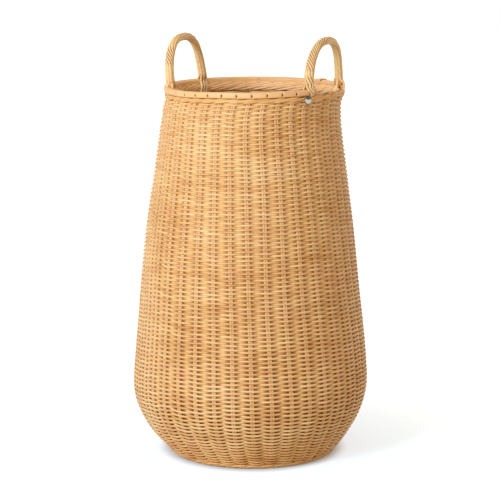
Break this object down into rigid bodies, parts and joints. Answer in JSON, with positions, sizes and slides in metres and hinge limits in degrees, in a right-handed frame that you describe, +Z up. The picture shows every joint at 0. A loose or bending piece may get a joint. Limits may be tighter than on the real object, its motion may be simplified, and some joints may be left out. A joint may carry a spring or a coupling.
{
  "type": "rattan laundry basket",
  "caption": "Tall pot-bellied laundry basket woven from round rattan cane, with a smooth cane rim and two roped loop handles.",
  "frame": {"origin": "on the floor, under the middle of the foot", "axes": "+Z up; the two handles stand at +X and -X; the stud is on the handle at +X, on its foot towards -Y"},
  "size_m": [0.34, 0.3394, 0.6],
  "materials": {
    "cane_weave": "natural round cane, satin, with darker gaps between the rows",
    "cane_stake": "natural round cane, satin",
    "cane_base": "natural cane, dull",
    "cane_rim": "smooth peeled cane, satin",
    "cane_wale": "natural round cane, satin",
    "cane_bow": "bent cane, dull",
    "cane_strand": "smooth peeled cane, satin",
    "stud_metal": "plain polished nickel"
  },
  "bodies": {
    "root": {"side_weave": "cane_weave", "base_weave": "cane_base", "rim_band": "cane_rim", "rim_inner_cane": "cane_rim", "rim_lashing": "cane_rim", "top_wale": "cane_wale", "inner_plait": "cane_wale", "handle_bow_right": "cane_bow", "handle_bow_left": "cane_bow", "handle_wrap_right": "cane_strand", "handle_wrap_left": "cane_strand", "stud": "stud_metal", "stake_01": "cane_stake", "stake_02": "cane_stake", "stake_03": "cane_stake", "stake_04": "cane_stake", "stake_05": "cane_stake", "stake_06": "cane_stake", "stake_07": "cane_stake", "stake_08": "cane_stake", "stake_09": "cane_stake", "stake_10": "cane_stake", "stake_11": "cane_stake", "stake_12": "cane_stake", "stake_13": "cane_stake", "stake_14": "cane_stake", "stake_15": "cane_stake", "stake_16": "cane_stake", "stake_17": "cane_stake", "stake_18": "cane_stake", "stake_19": "cane_stake", "stake_20": "cane_stake", "stake_21": "cane_stake", "stake_22": "cane_stake", "stake_23": "cane_stake", "stake_24": "cane_stake", "stake_25": "cane_stake", "stake_26": "cane_stake", "stake_27": "cane_stake", "stake_28": "cane_stake", "stake_29": "cane_stake", "stake_30": "cane_stake", "stake_31": "cane_stake", "stake_32": "cane_stake", "stake_33": "cane_stake", "stake_34": "cane_stake", "stake_35": "cane_stake", "stake_36": "cane_stake", "stake_37": "cane_stake", "stake_38": "cane_stake", "base_stick_lower_1": "cane_base", "base_stick_lower_2": "cane_base", "base_stick_lower_3": "cane_base", "base_stick_upper_1": "cane_base", "base_stick_upper_2": "cane_base", "base_stick_upper_3": "cane_base"}
  },
  "joints": []
}
